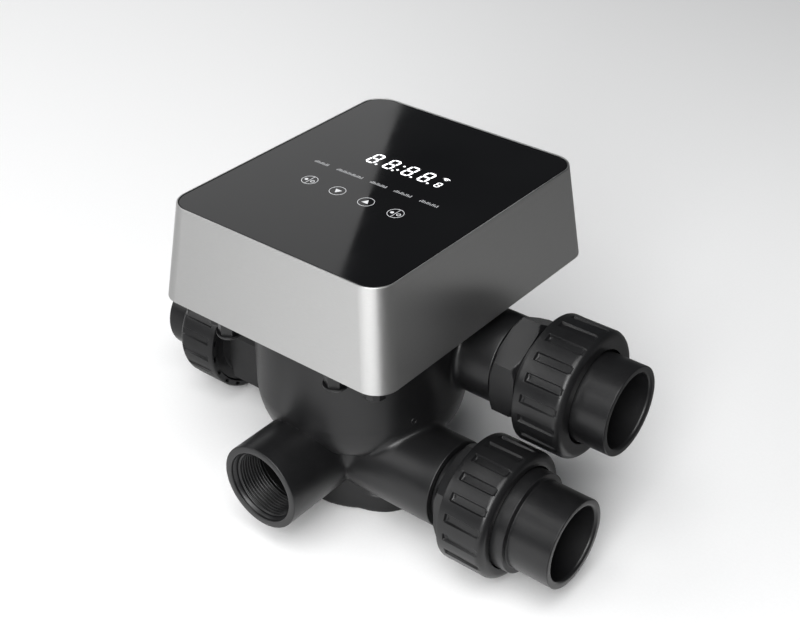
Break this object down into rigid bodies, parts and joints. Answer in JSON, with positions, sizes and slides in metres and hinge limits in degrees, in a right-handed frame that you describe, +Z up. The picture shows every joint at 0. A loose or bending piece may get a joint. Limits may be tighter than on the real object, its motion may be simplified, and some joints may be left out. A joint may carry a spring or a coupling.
{
  "type": "multiport valve",
  "caption": "Motor-driven pool filter valve: black moulded body with threaded ports and pipe unions, silver control box with a black glass key panel.",
  "frame": {"origin": "on the rotor's vertical axis, at the level of the base's feet", "axes": "+Z up along the rotor's axis, +X towards the upper pump port, -Y towards the front threaded port, from where the key panel is read"},
  "size_m": [0.3756, 0.2344, 0.2203],
  "materials": {
    "body_black": "fine moulded texture, satin black ABS",
    "fitting_black": "satin black ABS, slightly smoother than the body",
    "rubber_black": "soft black EPDM",
    "rotor_white": "natural filled nylon",
    "gear_nylon": "natural acetal",
    "steel": "turned stainless steel",
    "silver_metal": "satin brushed and anodised",
    "black_glass": "polished black glass, opaque",
    "circuit_green": "green solder mask",
    "module_black": "moulded black component casing"
  },
  "bodies": {
    "root": {"valve_body": "body_black", "valve_cover": "body_black", "cover_o_ring": "rubber_black", "spider_gasket": "rubber_black", "shaft_o_ring_lower": "rubber_black", "shaft_o_ring_upper": "rubber_black", "idler_pin": "steel", "motor_bracket": "steel", "gear_motor": "module_black", "base_tray": "body_black", "metal_skirt": "silver_metal", "panel_gasket": "rubber_black", "glass_panel": "black_glass", "display_board": "circuit_green", "led_display": "module_black", "control_board": "circuit_green", "power_supply": "module_black", "position_sensor": "module_black", "gland_body": "fitting_black", "gland_cap": "fitting_black", "cover_bolt_1": "body_black", "cover_bolt_2": "body_black", "cover_bolt_3": "body_black", "cover_bolt_4": "body_black", "cover_bolt_5": "body_black", "cover_bolt_6": "body_black", "tray_screw_1": "steel", "tray_screw_2": "steel", "tray_screw_3": "steel", "tray_screw_4": "steel", "right_adaptor": "fitting_black", "right_union_seal": "rubber_black", "left_adaptor": "fitting_black", "left_union_seal": "rubber_black", "pump_adaptor": "fitting_black", "pump_union_seal": "rubber_black"},
    "rotor": {"rotor": "rotor_white", "rotor_shaft": "steel", "drive_pin": "steel", "rotor_spring": "steel", "spring_washer": "steel", "output_gear": "gear_nylon", "position_disc": "module_black"},
    "idler": {"idler_gear": "gear_nylon"},
    "pinion": {"motor_pinion": "steel", "motor_shaft": "steel"},
    "right_tail": {"right_tailpiece": "fitting_black"},
    "right_nut": {"right_union_nut": "fitting_black"},
    "left_tail": {"left_tailpiece": "fitting_black"},
    "left_nut": {"left_union_nut": "fitting_black"},
    "pump_tail": {"pump_tailpiece": "fitting_black"},
    "pump_nut": {"pump_union_nut": "fitting_black"}
  },
  "joints": [
    {"name": "rotor_turn", "type": "hinge", "parent": "root", "child": "rotor", "pos_m": [0, 0, 0.1], "axis": [0, 0, 1], "continuous": true},
    {"name": "idler_turn", "type": "hinge", "parent": "root", "child": "idler", "pos_m": [0.02282, 0.04894, 0.176], "axis": [0, 0, 1], "continuous": true},
    {"name": "pinion_turn", "type": "hinge", "parent": "root", "child": "pinion", "pos_m": [0.00354, 0.07192, 0.176], "axis": [0, 0, 1], "continuous": true},
    {"name": "right_tail_slide", "type": "slide", "parent": "root", "child": "right_tail", "axis": [1, 0, 0], "range_m": [0, 0.02]},
    {"name": "right_nut_turn", "type": "hinge", "parent": "right_tail", "child": "right_nut", "pos_m": [0.14, -0.0228, 0.0476], "axis": [1, 0, 0], "range_deg": [0, 1440]},
    {"name": "left_tail_slide", "type": "slide", "parent": "root", "child": "left_tail", "axis": [-1, 0, 0], "range_m": [0, 0.02]},
    {"name": "left_nut_turn", "type": "hinge", "parent": "left_tail", "child": "left_nut", "pos_m": [-0.14, 0.0228, 0.0476], "axis": [-1, 0, 0], "range_deg": [0, 1440]},
    {"name": "pump_tail_slide", "type": "slide", "parent": "root", "child": "pump_tail", "axis": [1, 0, 0], "range_m": [0, 0.02]},
    {"name": "pump_nut_turn", "type": "hinge", "parent": "pump_tail", "child": "pump_nut", "pos_m": [0.14, 0.037, 0.1132], "axis": [1, 0, 0], "range_deg": [0, 1440]}
  ],
  "couplings": [
    {"joint": "idler_turn", "follows": "rotor_turn", "ratio": -2},
    {"joint": "pinion_turn", "follows": "rotor_turn", "ratio": 3},
    {"joint": "right_tail_slide", "follows": "right_nut_turn", "m_per_rad": 0.0007957},
    {"joint": "left_tail_slide", "follows": "left_nut_turn", "m_per_rad": 0.0007957},
    {"joint": "pump_tail_slide", "follows": "pump_nut_turn", "m_per_rad": 0.0007957}
  ]
}
